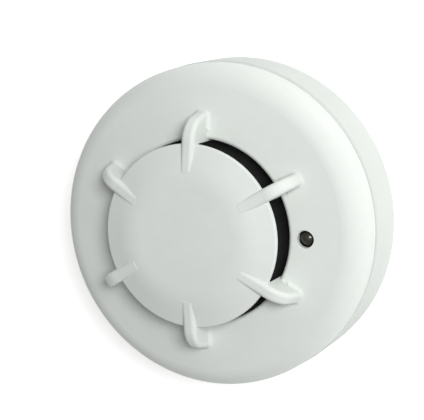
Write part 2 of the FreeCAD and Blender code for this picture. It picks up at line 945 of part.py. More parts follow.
def surge_suppressor():
    """Disc varistor standing on edge, on two leads."""
    centre = board_top + suppressor_radius + lead_radius
    start = FreeCAD.Vector(-suppressor_thickness / 2, 0, centre)
    body = Part.makeCylinder(
        suppressor_radius, suppressor_thickness, start, FreeCAD.Vector(1, 0, 0)
    )
    body = body.makeFillet(suppressor_thickness / 4, body.Edges)
    leads = two_leads(led_pitch, board_top, centre)
    return turned(moved(body.fuse(leads), part_orbit, 0), suppressor_angle)


def chip_row(size, count, orbit, arc_start, arc_end):
    """Small chips on an arc about the sensor."""
    length, width, height = size
    chip = block(
        -width / 2, width / 2, -length / 2, length / 2, board_top, board_top + height
    )
    step = (arc_end - arc_start) / (count - 1)
    placed = moved(chip, orbit, 0)
    return [turned(placed, arc_start + step * i) for i in range(count)]


# ---- All nodes -------------------------------------------------------------
def group(solids):
    return Part.makeCompound(solids)


def all_nodes():
    nodes = {
        "mounting_base": mounting_base(),
        "spring_rivets": group(contact_place(spring_rivet())),
        "terminal_screws": group(contact_place(terminal_screw())),
        "clamp_washers": group(contact_place(clamp_washer())),
        "front_cover": front_cover(),
        "rear_housing": rear_housing(),
        "housing_screws": group(around(housing_screw(), screw_count, first_screw_angle)),
        "contact_posts": group(contact_place(contact_post())),
        "rating_label": rating_label(),
        "circuit_board": circuit_board(),
        "chamber_shield": chamber_shield(),
        "shield_gasket": shield_gasket(),
        "thermistor_sleeve": thermistor_sleeve(),
        "sensing_thermistor": sensing_thermistor(),
        "reference_thermistor": reference_thermistor(),
        "indicator_led": indicator_led(),
        "led_spacer": led_spacer(),
        "microcontroller": microcontroller(),
        "bridge_rectifier": bridge_rectifier(),
        "line_transistor": line_transistor(),
        "smoothing_capacitor": smoothing_capacitor(),
        "surge_suppressor": surge_suppressor(),
        "chip_resistors": group(
            chip_row(resistor_size, resistor_count, resistor_orbit, *resistor_arc)
        ),
        "chip_capacitors": group(
            chip_row(chip_cap_size, chip_cap_count, chip_cap_orbit, *resistor_arc)
        ),
    }
    repeated = {
        "terminal_plate": terminal_plate(),
        "contact_spring": contact_spring(),
        "contact_blade": contact_blade(),
    }
    for name, shape in repeated.items():
        for k, copy in enumerate(contact_place(shape)):
            nodes[f"{name}_{k + 1}"] = copy
    return nodes


os.makedirs("parts", exist_ok=True)
for node_name, node_shape in all_nodes().items():
    node_shape.exportStep(f"parts/{node_name}.step")
    print(node_name, len(node_shape.Solids), round(node_shape.Volume, 1), node_shape.isValid())
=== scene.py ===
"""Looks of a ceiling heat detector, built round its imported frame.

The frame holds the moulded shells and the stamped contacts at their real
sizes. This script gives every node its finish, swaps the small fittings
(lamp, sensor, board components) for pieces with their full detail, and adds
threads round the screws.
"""

import json
import logging
import math
from dataclasses import dataclass, field
from enum import Enum
from typing import Iterable, Sequence

import bmesh
import bpy
from bmesh.types import BMesh, BMFace, BMVert
from mathutils import Matrix, Vector

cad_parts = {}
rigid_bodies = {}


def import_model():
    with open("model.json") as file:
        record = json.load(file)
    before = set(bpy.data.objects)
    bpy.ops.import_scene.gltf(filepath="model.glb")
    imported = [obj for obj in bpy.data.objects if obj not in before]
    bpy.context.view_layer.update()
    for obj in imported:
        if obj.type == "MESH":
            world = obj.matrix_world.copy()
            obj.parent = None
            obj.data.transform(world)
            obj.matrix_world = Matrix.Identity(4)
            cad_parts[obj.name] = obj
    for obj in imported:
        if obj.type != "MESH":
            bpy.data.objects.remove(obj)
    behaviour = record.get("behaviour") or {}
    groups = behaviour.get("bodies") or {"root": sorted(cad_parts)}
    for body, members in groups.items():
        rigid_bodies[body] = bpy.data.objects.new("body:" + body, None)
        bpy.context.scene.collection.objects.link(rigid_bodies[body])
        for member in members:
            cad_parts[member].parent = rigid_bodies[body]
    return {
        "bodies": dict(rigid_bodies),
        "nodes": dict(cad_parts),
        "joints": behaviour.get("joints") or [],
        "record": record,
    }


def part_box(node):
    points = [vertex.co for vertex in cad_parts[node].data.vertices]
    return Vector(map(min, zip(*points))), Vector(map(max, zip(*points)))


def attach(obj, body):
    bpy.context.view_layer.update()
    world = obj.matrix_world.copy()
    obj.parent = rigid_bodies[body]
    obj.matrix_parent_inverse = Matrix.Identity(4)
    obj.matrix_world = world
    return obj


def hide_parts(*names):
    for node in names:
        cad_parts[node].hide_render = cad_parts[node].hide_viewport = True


LOG = logging.getLogger("heat_detector")
MM = 0.001
UP = Vector((0.0, 0.0, 1.0))


class Body(Enum):
    """The two halves that the bayonet joins."""

    BASE = "base"
    HEAD = "head"


# ---------------------------------------------------------------------------
# Shader maths
# ---------------------------------------------------------------------------
Colour = tuple[float, float, float]
Number = "float | Value"
Paint = "tuple[float, float, float, float] | bpy.types.NodeSocket"


class Graph:
    """One material's nodes, with short calls to add to them."""

    def __init__(self, name: str) -> None:
        """Start an empty material.

        Args:
            name: the material's name.
        """
        self.material = bpy.data.materials.new(name)
        self.material.use_nodes = True
        self.tree = self.material.node_tree
        self.shader = self.tree.nodes["Principled BSDF"]

    def node(self, kind: str, settings: dict | None = None,
             sockets: dict | None = None) -> bpy.types.Node:
        """Add a node.

        Args:
            kind: the node's type name.
            settings: properties, set before the sockets.
            sockets: values or links by socket name or number.

        Returns:
            The new node.
        """
        made = self.tree.nodes.new(kind)
        for key, value in (settings or {}).items():
            setattr(made, key, value)
        for key, value in (sockets or {}).items():
            self.feed(made.inputs[key], value)
        return made

    def feed(self, socket: bpy.types.NodeSocket, value: object) -> None:
        """Give a socket a value, or a link if the value is itself a socket.

        Args:
            socket: the input to feed.
            value: a number, a colour, a socket or a Value.
        """
        if isinstance(value, Value):
            self.tree.links.new(value.socket, socket)
        elif isinstance(value, bpy.types.NodeSocket):
            self.tree.links.new(value, socket)
        else:
            socket.default_value = value

    def place(self) -> bpy.types.NodeSocket:
        """Object coordinates, in metres."""
        return self.node("ShaderNodeTexCoord").outputs["Object"]

    def noise(self, per_metre: float, detail: float = 2.0, rough: float = 0.5,
              stretch: Sequence[float] = (1.0, 1.0, 1.0)) -> "Value":
        """Noise from 0 to 1 over the object.

        Args:
            per_metre: how many features a metre holds.
            detail: octaves.
            rough: strength of the finer octaves.
            stretch: scale along each axis.

        Returns:
            The noise as a value.
        """
        spot = self.node(
            "ShaderNodeMapping", sockets={"Vector": self.place(), "Scale": stretch}
        )
        made = self.node(
            "ShaderNodeTexNoise",
            sockets={
                "Vector": spot.outputs["Vector"],
                "Scale": per_metre,
                "Detail": detail,
                "Roughness": rough,
            },
        )
        return Value(self, made.outputs["Fac"])

    def radius(self) -> "Value":
        """Measure the distance from the Z axis.

        Returns:
            The distance, in metres.
        """
        flat = self.node(
            "ShaderNodeVectorMath", {"operation": "MULTIPLY"},
            {0: self.place(), 1: (1.0, 1.0, 0.0)},
        )
        span = self.node(
            "ShaderNodeVectorMath", {"operation": "LENGTH"}, {0: flat.outputs["Vector"]}
        )
        return Value(self, span.outputs["Value"])

    def blend(self, factor: Number, first: Paint, second: Paint) -> bpy.types.NodeSocket:
        """Mix two colours.

        Args:
            factor: 0 gives the first colour, 1 the second.
            first: a colour or a socket.
            second: a colour or a socket.

        Returns:
            The mixed colour's socket.
        """
        made = self.node("ShaderNodeMix", {"data_type": "RGBA"})
        self.feed(made.inputs["Factor"], factor)
        self.feed(made.inputs[6], first)
        self.feed(made.inputs[7], second)
        return made.outputs[2]

    def bump(self, height: "Value", depth: float, strength: float = 1.0) -> None:
        """Raise the surface by a height field.

        Args:
            height: the field, from 0 to 1.
            depth: the height of 1, in metres.
            strength: how much of it shows.
        """
        made = self.node(
            "ShaderNodeBump", sockets={"Height": height, "Distance": depth, "Strength": strength}
        )
        self.feed(self.shader.inputs["Normal"], made.outputs["Normal"])

    def dress(self, **sockets) -> bpy.types.Material:
        """Set the shader's own sockets, underscores standing for spaces."""
        for key, value in sockets.items():
            self.feed(self.shader.inputs[key.replace("_", " ")], value)
        return self.material


class Value:
    """A number in a shader, which takes part in Python expressions."""

    def __init__(self, graph: Graph, socket: bpy.types.NodeSocket) -> None:
        """Wrap a socket of a graph."""
        self.graph = graph
        self.socket = socket

    def _maths(self, operation: str, *operands: Number) -> "Value":
        """Add one Math node.

        Args:
            operation: the node's operation.
            operands: its inputs in order.

        Returns:
            The node's result.
        """
        made = self.graph.node("ShaderNodeMath", {"operation": operation})
        for socket, operand in zip(made.inputs, operands):
            self.graph.feed(socket, operand)
        return Value(self.graph, made.outputs["Value"])

    def __add__(self, other: Number) -> "Value":
        """Sum."""
        return self._maths("ADD", self, other)

    __radd__ = __add__

    def __sub__(self, other: Number) -> "Value":
        """Difference."""
        return self._maths("SUBTRACT", self, other)

    def __rsub__(self, other: Number) -> "Value":
        """Reflected difference."""
        return self._maths("SUBTRACT", other, self)

    def __mul__(self, other: Number) -> "Value":
        """Product."""
        return self._maths("MULTIPLY", self, other)

    __rmul__ = __mul__

    def between(self, low: float, high: float) -> "Value":
        """Step smoothly from 0 to 1.

        Args:
            low: the value at which the step starts.
            high: the value at which it ends.

        Returns:
            The step.
        """
        made = self.graph.node(
            "ShaderNodeMapRange",
            {"interpolation_type": "SMOOTHSTEP"},
            {"Value": self, "From Min": low, "From Max": high},
        )
        return Value(self.graph, made.outputs["Result"])


# ---------------------------------------------------------------------------
# Finishes
# ---------------------------------------------------------------------------
def rgba(colour: Colour) -> tuple[float, float, float, float]:
    """A colour with full alpha."""
    return (*colour, 1.0)


def shaded(colour: Colour, factor: float) -> Colour:
    """A colour made lighter or darker."""
    return tuple(min(1.0, channel * factor) for channel in colour)


@dataclass(frozen=True)
class MouldedPlastic:
    """Injection-moulded plastic with a fine eroded mould texture."""

    name: str
    colour: Colour
    roughness: float = 0.42
    grain_per_metre: float = 2600.0
    grain_depth: float = 0.000012
    drift: float = 0.03
    specular: float = 0.5

    def material(self) -> bpy.types.Material:
        """Build the material.

        Returns:
            The material.
        """
        graph = Graph(self.name)
        drift = graph.noise(28.0, 3.0)
        speck = graph.noise(420.0, 2.0)
        grain = graph.noise(self.grain_per_metre, 2.0, 0.6)
        scuff = graph.noise(160.0, 4.0, 0.6, (1.0, 0.35, 1.0)).between(0.62, 0.78)
        tone = drift * 0.8 + speck * 0.2
        colour = graph.blend(
            tone.between(0.3, 0.7),
            rgba(shaded(self.colour, 1.0 - self.drift)),
            rgba(shaded(self.colour, 1.0 + self.drift)),
        )
        graph.bump(grain, self.grain_depth)
        return graph.dress(
            Base_Color=colour,
            Roughness=self.roughness + (speck - 0.5) * 0.08 + scuff * 0.05,
            Specular_IOR_Level=self.specular,
        )


@dataclass(frozen=True)
class PlatedMetal:
    """Bare or plated metal with fine draw marks and slight tarnish."""

    name: str
    colour: Colour
    tarnish: Colour
    roughness: float = 0.3
    marks_along: Sequence[float] = (1.0, 1.0, 0.08)

    def material(self) -> bpy.types.Material:
        """Build the material.

        Returns:
            The material.
        """
        graph = Graph(self.name)
        marks = graph.noise(5200.0, 3.0, 0.6, self.marks_along)
        stain = graph.noise(230.0, 4.0, 0.6).between(0.42, 0.75)
        graph.bump(marks, 0.000006)
        return graph.dress(
            Base_Color=graph.blend(stain * 0.55, rgba(self.colour), rgba(self.tarnish)),
            Metallic=1.0,
            Roughness=self.roughness + marks * 0.14 + stain * 0.1,
        )


@dataclass(frozen=True)
class Resin:
    """Dipped or cast resin: smooth, glossy, with a slow wave in its skin."""

    name: str
    colour: Colour
    roughness: float = 0.16
    coat: float = 0.6

    def material(self) -> bpy.types.Material:
        """Build the material.

        Returns:
            The material.
        """
        graph = Graph(self.name)
        wave = graph.noise(700.0, 2.0)
        dust = graph.noise(3000.0, 2.0).between(0.6, 0.72)
        graph.bump(wave, 0.00003)
        return graph.dress(
            Base_Color=graph.blend(
                dust * 0.25, rgba(self.colour), rgba(shaded(self.colour, 1.9))
            ),
            Roughness=self.roughness + dust * 0.2,
            Coat_Weight=self.coat,
            Coat_Roughness=0.08,
        )


@dataclass(frozen=True)
class SolderMask:
    """Green lacquer over glass laminate, with the weave just showing."""

    name: str
    colour: Colour

    def material(self) -> bpy.types.Material:
        """Build the material.

        Returns:
            The material.
        """
        graph = Graph(self.name)
        warp = graph.noise(1500.0, 1.0, 0.5, (1.0, 0.15, 1.0))
        weft = graph.noise(1500.0, 1.0, 0.5, (0.15, 1.0, 1.0))
        weave = warp * 0.5 + weft * 0.5
        pools = graph.noise(90.0, 2.0)
        graph.bump(weave, 0.00001)
        return graph.dress(
            Base_Color=graph.blend(
                pools * 0.5 + weave * 0.5,
                rgba(shaded(self.colour, 0.8)),
                rgba(shaded(self.colour, 1.25)),
            ),
            Roughness=0.24 + weave * 0.18,
            Coat_Weight=0.4,
        )


@dataclass(frozen=True)
class Foam:
    """Closed-cell foam with open cells on its cut faces."""

    name: str
    colour: Colour

    def material(self) -> bpy.types.Material:
        """Build the material.

        Returns:
            The material.
        """
        graph = Graph(self.name)
        cells = graph.node(
            "ShaderNodeTexVoronoi", {"feature": "F1"},
            {"Vector": graph.place(), "Scale": 4200.0},
        )
        depth = Value(graph, cells.outputs["Distance"])
        graph.bump(depth, 0.00008)
        return graph.dress(
            # Painted shade: each cell's hollow is coloured darker, lighter towards its rim.
            Base_Color=graph.blend(
                depth.between(0.1, 0.6), rgba(shaded(self.colour, 0.6)),
                rgba(shaded(self.colour, 1.6)),
            ),
            Roughness=0.95,
        )


@dataclass(frozen=True)
class PrintedLabel:
    """Coated paper label, blank but for its printed border."""

    name: str
    colour: Colour
    ink: Colour = (0.05, 0.06, 0.08)
    border: float = 0.0165
    border_width: float = 0.0004

    def material(self) -> bpy.types.Material:
        """Build the material.

        Returns:
            The material.
        """
        graph = Graph(self.name)
        fibre = graph.noise(2400.0, 3.0, 0.6, (1.0, 0.4, 1.0))
        yellowing = graph.noise(60.0, 2.0)
        radius = graph.radius()
        outside = radius.between(self.border, self.border + 0.00003)
        far_edge = self.border + self.border_width
        inside = 1.0 - radius.between(far_edge, far_edge + 0.00003)
        paper = graph.blend(
            yellowing * 0.6 + fibre * 0.4, rgba(self.colour), rgba(shaded(self.colour, 0.93))
        )
        graph.bump(fibre, 0.000006)
        return graph.dress(
            Base_Color=graph.blend(outside * inside * 0.9, paper, rgba(self.ink)),
            Roughness=0.34 + fibre * 0.1,
        )


@dataclass(frozen=True)
class StudioFloor:
    """Pale paper sweep, lit to near white."""

    name: str = "studio_floor"
    colour: Colour = (0.93, 0.93, 0.925)
    glow: float = 0.5

    def material(self) -> bpy.types.Material:
        """Build the material.

        Returns:
            The material.
        """
        graph = Graph(self.name)
        fibre = graph.noise(900.0, 3.0)
        graph.bump(fibre, 0.00002)
        return graph.dress(
            Base_Color=graph.blend(
                fibre, rgba(self.colour), rgba(shaded(self.colour, 1.02))
            ),
            Roughness=0.9,
            Emission_Color=rgba((1.0, 1.0, 0.995)),
            Emission_Strength=self.glow,
        )


WHITE: Colour = (0.705, 0.738, 0.708)
FINISHES = (
    # base_plastic is a darker copy of the cover's white (0.86 of it): painted shade that dims the
    # base's side wall.
    MouldedPlastic("base_plastic", shaded(WHITE, 0.86), 0.60, specular=0.25),
    MouldedPlastic("cover_plastic", WHITE, 0.58, specular=0.25),
    MouldedPlastic("housing_plastic", shaded(WHITE, 0.92), 0.50),
    # black_plastic: black moulding inside the head; its black also paints the shade seen through
    # the windows round the cap.
    MouldedPlastic("black_plastic", (0.012, 0.012, 0.013), 0.62, 1800.0, 0.00003, 0.2, 0.3),
    MouldedPlastic("natural_nylon", (0.62, 0.58, 0.47), 0.45, 1200.0, 0.00001, 0.06),
    MouldedPlastic("chip_package", (0.022, 0.022, 0.024), 0.55, 6000.0, 0.00001, 0.2),
    MouldedPlastic("resistor_body", (0.02, 0.02, 0.022), 0.3, 6000.0, 0.000005, 0.2),
    MouldedPlastic("ceramic_chip", (0.36, 0.25, 0.15), 0.35, 6000.0, 0.000005, 0.1),
    PrintedLabel("label_stock", (0.80, 0.80, 0.77)),
    Resin("sensor_resin", (0.012, 0.012, 0.014)),
    # lamp_lens: a smoked tint, darkened to near black so that it also paints the shade in the
    # lamp's hole.
    Resin("lamp_lens", (0.024, 0.025, 0.017), 0.30, 0.25),
    Resin("suppressor_coating", (0.03, 0.13, 0.42), 0.25, 0.4),
    SolderMask("board_laminate", (0.012, 0.13, 0.05)),
    Foam("gasket_foam", (0.03, 0.03, 0.033)),
    PlatedMetal("rivet_metal", (0.78, 0.62, 0.32), (0.45, 0.33, 0.18)),
    PlatedMetal("plate_brass", (0.80, 0.61, 0.28), (0.50, 0.34, 0.16), 0.28),
    PlatedMetal("screw_steel", (0.66, 0.67, 0.68), (0.42, 0.42, 0.41), 0.26),
    PlatedMetal("tinned_brass", (0.74, 0.72, 0.68), (0.52, 0.49, 0.44), 0.24),
    PlatedMetal("spring_steel", (0.70, 0.68, 0.64), (0.50, 0.44, 0.36), 0.22),
    PlatedMetal("capacitor_can", (0.83, 0.84, 0.85), (0.66, 0.66, 0.66), 0.2),
    PlatedMetal("solder", (0.75, 0.76, 0.77), (0.55, 0.55, 0.54), 0.3),
    MouldedPlastic("alumina", (0.72, 0.72, 0.70), 0.4, 6000.0, 0.000005, 0.05),
    MouldedPlastic("ink", (0.015, 0.015, 0.016), 0.45, 4000.0, 0.000003, 0.2),
    MouldedPlastic("legend", (0.78, 0.78, 0.74), 0.5, 4000.0, 0.000003, 0.05),
    SolderMask("track_mask", (0.03, 0.22, 0.09)),
    PlatedMetal("gilt_pad", (0.85, 0.66, 0.32), (0.62, 0.45, 0.2), 0.24),
)


@dataclass
class Palette:
    """Every finish's material, by name."""

    made: dict[str, bpy.types.Material] = field(default_factory=dict)

    def build(self) -> None:
        """Make all the materials."""
        for finish in FINISHES:
            self.made[finish.name] = finish.material()

    def __getitem__(self, name: str) -> bpy.types.Material:
        """The material of that name."""
        return self.made[name]


# ---------------------------------------------------------------------------
# Shapes
# ---------------------------------------------------------------------------
Point = tuple[float, float]


def shift(x: float, y: float = 0.0, z: float = 0.0) -> Matrix:
    """A move, in millimetres."""
    return Matrix.Translation((x, y, z))


def turn(degrees: float, axis: str = "Z") -> Matrix:
    """A turn about an axis through the origin."""
    return Matrix.Rotation(math.radians(degrees), 4, axis)


class Form:
    """A closed shape grown with bmesh operators, in millimetres."""

    def __init__(self) -> None:
        """Start with nothing."""
        self.bm: BMesh = bmesh.new()

    @classmethod
    def lathe(cls, profile: Sequence[Point], steps: int = 48) -> "Form":
        """Spin a profile round Z.

        Args:
            profile: (radius, height) corners.
            steps: facets round the axis.

        Returns:
            The turned form.
        """
        form = cls()
        spots = [form.bm.verts.new((radius, 0.0, height)) for radius, height in profile]
        edges = [form.bm.edges.new(pair) for pair in zip(spots, spots[1:])]
        bmesh.ops.spin(
            form.bm, geom=[*spots, *edges], cent=(0, 0, 0), axis=(0, 0, 1),
            angle=math.tau, steps=steps, use_merge=True,
        )
        return form.sound()

    @classmethod
    def block(cls, size: Sequence[float], rounding: float = 0.0) -> "Form":
        """Box centred on the origin, with rounded edges.

        Args:
            size: its length, width and height.
            rounding: radius of its edges.

        Returns:
            The box.
        """
        form = cls()
        bmesh.ops.create_cube(form.bm, size=1.0)
        bmesh.ops.scale(form.bm, vec=Vector(size), verts=form.bm.verts[:])
        return form.rounded(rounding)

    @classmethod
    def prism(cls, outline: Sequence[Point], depth: float) -> "Form":
        """Outline in XZ, given a depth centred on Y.

        Args:
            outline: (x, z) corners in order.
            depth: size along Y.

        Returns:
            The prism.
        """
        form = cls()
        face = form.bm.faces.new(
            [form.bm.verts.new((x, -depth / 2, z)) for x, z in outline]
        )
        form.push(face, Vector((0.0, depth, 0.0)))
        return form.sound()

    @classmethod
    def wire(cls, path: Sequence[Sequence[float]], radius: float, sides: int = 14) -> "Form":
        """Round wire that bends along a path.

        Args:
            path: the points of its centre line.
            radius: of the wire.
            sides: facets round it.

        Returns:
            The wire.
        """
        form = cls()
        spots = [Vector(spot) for spot in path]
        runs = [(after - before).normalized() for before, after in zip(spots, spots[1:])]
        facing = [runs[0], *((a + b).normalized() for a, b in zip(runs, runs[1:])), runs[-1]]
        bmesh.ops.create_circle(
            form.bm, cap_ends=True, segments=sides, radius=radius,
            matrix=Matrix.Translation(spots[0])
            @ UP.rotation_difference(facing[0]).to_matrix().to_4x4(),
        )
        face = form.bm.faces[:][0]
        for index, spot in enumerate(spots[1:], 1):
            face = form.push(face, spot - spots[index - 1])
            bend = facing[index - 1].rotation_difference(facing[index])
            bmesh.ops.rotate(form.bm, cent=spot, matrix=bend.to_matrix(), verts=face.verts[:])
        return form.sound()

    @classmethod
    def ribbon(cls, path: Sequence[Point], width: float, height: float) -> "Form":
        """Flat strip on z = 0 along a path.

        Args:
            path: (x, y) points of its middle line.
            width: across the path.
            height: above z = 0.

        Returns:
            The strip.
        """
        form = cls()
        spots = [form.bm.verts.new((x, y, 0.0)) for x, y in path]
        edges = [form.bm.edges.new(pair) for pair in zip(spots, spots[1:])]
        raised = bmesh.ops.extrude_edge_only(form.bm, edges=edges)["geom"]
        tops = [item for item in raised if isinstance(item, BMVert)]
        bmesh.ops.translate(form.bm, vec=Vector((0.0, 0.0, height)), verts=tops)
        bmesh.ops.recalc_face_normals(form.bm, faces=form.bm.faces[:])
        bmesh.ops.solidify(form.bm, geom=form.bm.faces[:], thickness=width)
        return form.sound()

    @classmethod
    def thread(cls, core: float, crest: float, pitch: float, length: float) -> "Form":
        """Helical ridge round a shank that hangs below z = 0.

        Args:
            core: radius of the shank.
            crest: radius of the ridge.
            pitch: drop in one turn.
            length: of the threaded part.

        Returns:
            The ridge.
        """
        form = cls()
        inner = core * 0.9
        corners = [(inner, -pitch * 0.35), (core, -pitch * 0.35), (crest, 0.0),
                   (core, pitch * 0.35), (inner, pitch * 0.35)]
        spots = [form.bm.verts.new((radius, 0.0, height)) for radius, height in corners]
        edges = [form.bm.edges.new(pair) for pair in zip(spots, [*spots[1:], spots[0]])]
        turns = length / pitch
        steps = round(turns * 24)
        bmesh.ops.spin(
            form.bm, geom=[*spots, *edges], cent=(0, 0, 0), axis=(0, 0, 1),
            dvec=(0, 0, -length / steps), angle=math.tau * turns, steps=steps,
        )
        rims = [edge for edge in form.bm.edges if edge.is_boundary]
        bmesh.ops.holes_fill(form.bm, edges=rims)
        return form.sound()

    def push(self, face: BMFace, by: Vector) -> BMFace:
        """Extrude a face.

        Args:
            face: the face.
            by: how far it goes.

        Returns:
            The face at the new end.
        """
        inside = any(not edge.is_boundary for edge in face.edges)
        grown = bmesh.ops.extrude_face_region(self.bm, geom=[face])["geom"]
        if inside:
            bmesh.ops.delete(self.bm, geom=[face], context="FACES_ONLY")
        end = next(item for item in grown if isinstance(item, BMFace))
        bmesh.ops.translate(self.bm, vec=by, verts=end.verts[:])
        return end

    def sound(self) -> "Form":
        """Merge doubles and point every face outwards."""
        bmesh.ops.remove_doubles(self.bm, verts=self.bm.verts[:], dist=1e-4)
        bmesh.ops.recalc_face_normals(self.bm, faces=self.bm.faces[:])
        return self

    def rounded(self, radius: float, sharper_than: float = 40.0) -> "Form":
        """Round the edges whose faces meet at more than an angle.

        Args:
            radius: of the rounding.
            sharper_than: the angle, in degrees.

        Returns:
            This form.
        """
        limit = math.radians(sharper_than)
        edges = [edge for edge in self.bm.edges if edge.calc_face_angle(0.0) > limit]
        bmesh.ops.bevel(
            self.bm, geom=edges, offset=radius, offset_type="OFFSET", segments=3,
            profile=0.5, affect="EDGES", material=-1, clamp_overlap=True,
        )
        return self

    def sliced(self, point: Sequence[float], outward: Sequence[float]) -> "Form":
        """Cut away what lies beyond a plane, and close the cut.

        Args:
            point: on the plane.
            outward: toward the side that goes.

        Returns:
            This form.
        """
        everything = [*self.bm.verts, *self.bm.edges, *self.bm.faces]
        bmesh.ops.bisect_plane(
            self.bm, geom=everything, plane_co=point, plane_no=outward, clear_outer=True
        )
        rims = [edge for edge in self.bm.edges if edge.is_boundary]
        bmesh.ops.holes_fill(self.bm, edges=rims)
        return self.sound()

    def drafted(self, above: float, factor: float) -> "Form":
        """Narrow the shape toward its top and its foot.

        Args:
            above: points further than this from z = 0 move in.
            factor: their scale in X and Y.

        Returns:
            This form.
        """
        ends = [spot for spot in self.bm.verts if abs(spot.co.z) > above]
        bmesh.ops.scale(self.bm, vec=Vector((factor, factor, 1.0)), verts=ends)
        return self

    def placed(self, place: Matrix) -> "Form":
        """Move the form."""
        bmesh.ops.transform(self.bm, matrix=place, verts=self.bm.verts[:])
        return self


class Piece:
    """A named piece put together from forms."""

    def __init__(self, name: str, body: Body, palette: Palette) -> None:
        """Start an empty piece.

        Args:
            name: the piece's name.
            body: the body it moves with.
            palette: the finished materials.
        """
        self.name = name
        self.body = body
        self.palette = palette
        self.bm: BMesh = bmesh.new()
        self.finishes: list[str] = []

    def add(self, form: Form, finish: str, places: Iterable[Matrix] = (Matrix(),)) -> None:
        """Add a form at each place.

        Args:
            form: the form, which can't be used again.
            finish: name of its finish.
            places: where its copies stand.
        """
        if finish not in self.finishes:
            self.finishes.append(finish)
        for face in form.bm.faces:
            face.material_index = self.finishes.index(finish)
        mesh = bpy.data.meshes.new("form")
        form.bm.to_mesh(mesh)
        form.bm.free()
        for place in places:
            copy = mesh.copy()
            copy.transform(place)
            self.bm.from_mesh(copy)
            bpy.data.meshes.remove(copy)
        bpy.data.meshes.remove(mesh)

    def finish(self, slot: str, *nodes: str) -> None:
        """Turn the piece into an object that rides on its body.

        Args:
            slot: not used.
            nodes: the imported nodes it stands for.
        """
        bmesh.ops.scale(self.bm, vec=Vector((MM, MM, MM)), verts=self.bm.verts[:])
        mesh = bpy.data.meshes.new(self.name)
        self.bm.to_mesh(mesh)
        self.bm.free()
        for finish in self.finishes:
            mesh.materials.append(self.palette[finish])
        mesh.shade_smooth()
        mesh.set_sharp_from_angle(angle=math.radians(38.0))
        made = bpy.data.objects.new(self.name, mesh)
        bpy.context.scene.collection.objects.link(made)
        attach(made, self.body.value)
        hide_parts(*nodes)
        LOG.info("built %s with %d faces", self.name, len(mesh.polygons))


def dome(radius: float, rise: float, foot: float, start: float = 0.0,
         count: int = 14) -> list[Point]:
    """Profile of a dome that closes on the axis.

    Args:
        radius: of its rim.
        rise: from its middle height to its top.
        foot: its middle height.
        start: where it starts, in degrees above the middle.
        count: how many steps it has.

    Returns:
        (radius, height) points from the rim to the top.
    """
    angles = [math.radians(start + (90.0 - start) * i / count) for i in range(count)]
    points = [(radius * math.cos(a), foot + rise * math.sin(a)) for a in angles]
    return [*points, (0.0, foot + rise)]


# ---------------------------------------------------------------------------
# Sub-assemblies
# ---------------------------------------------------------------------------
def span(node: str) -> tuple[Vector, Vector]:
    """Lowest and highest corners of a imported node, in millimetres."""
    low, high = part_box(node)
    return low / MM, high / MM


@dataclass(frozen=True)
class Board:
    """Where the board and what stands on it lie, in millimetres."""

    bottom: float
    top: float
    part_orbit: float
    lead_end: float
    pad_height: float = 0.035
    post_orbit: float = 34.0
    post_offset: float = -7.0
    post_angles: tuple[float, ...] = (45.0, 135.0, 225.0, 315.0)
    capacitor_angle: float = 100.0
    rectifier_angle: float = 152.0
    reference_angle: float = 175.0
    suppressor_angle: float = 254.0
    transistor_angle: float = 334.0
    wide_pitch: float = 2.54
    thermistor_pitch: float = 1.4
    chip_arc: tuple[float, float] = (-150.0, 60.0)
    resistor_count: int = 10

    @classmethod
    def measured(cls) -> "Board":
        """Read the board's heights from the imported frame.

        Returns:
            The board.
        """
        low, high = span("circuit_board")
        can_low, can_high = span("smoothing_capacitor")
        can = (can_low + can_high) / 2
        lead_end = span("indicator_led")[0].z
        return cls(low.z, high.z, math.hypot(can.x, can.y), lead_end)

    def on_ring(self, angle: float) -> Matrix:
        """Place on z = 0, on the ring of larger parts."""
        return turn(angle) @ shift(self.part_orbit)

    def standing(self, angle: float) -> Matrix:
        """Place on the board's top, on the ring of larger parts."""
        return self.on_ring(angle) @ shift(0.0, 0.0, self.top)

    def along_arc(self, count: int) -> list[Matrix]:
        """Evenly spaced turns over the arc of small chips."""
        start, stop = self.chip_arc
        step = (stop - start) / (count - 1)
        return [turn(start + step * i) for i in range(count)]


@dataclass
class IndicatorLamp:
    """Tinted lamp: a domed lens with a flange and a flat, on two square leads; its near-black
    lens also paints the shade in its hole.
    """

    palette: Palette
    board: Board
    orbit: float
    top: float
    spacer: float = 0.6
    lens_radius: float = 2.5
    flange_radius: float = 2.9
    flange_height: float = 1.0
    flat_at: float = 2.62
    lead_side: float = 0.45
    edge: float = 0.08

    @property
    def foot(self) -> float:
        """Height of the lens's foot, on its spacer."""
        return self.board.top + self.spacer

    def lens(self) -> None:
        """Build the lens."""
        rise = self.lens_radius * 0.96
        flange_top = self.foot + self.flange_height
        profile = [
            (0.0, self.foot),
            (self.flange_radius - self.edge, self.foot),
            (self.flange_radius, self.foot + self.edge),
            (self.flange_radius, flange_top - self.edge),
            (self.flange_radius - self.edge, flange_top),
            (self.lens_radius + self.edge, flange_top),
            (self.lens_radius, flange_top + self.edge),
            *dome(self.lens_radius, rise, self.top - rise),
        ]
        form = Form.lathe(profile, 72).sliced((0.0, -self.flat_at, 0.0), (0.0, -1.0, 0.0))
        piece = Piece("lamp_lens", Body.HEAD, self.palette)
        piece.add(form, "lamp_lens", [shift(self.orbit)])
        piece.finish("lamp_lens", "indicator_led")

    def leads(self) -> None:
        """Build the leads."""
        length = self.foot + 0.2 - self.board.lead_end
        middle = self.board.lead_end + length / 2
        sides = (-self.board.wide_pitch / 2, self.board.wide_pitch / 2)
        piece = Piece("lamp_leads", Body.HEAD, self.palette)
        piece.add(
            Form.block((self.lead_side, self.lead_side, length), self.edge), "solder",
            [shift(self.orbit, side, middle) for side in sides],
        )
        piece.finish("tinned_brass", "indicator_led")

    def build(self) -> None:
        """Build the lamp."""
        self.lens()
        self.leads()


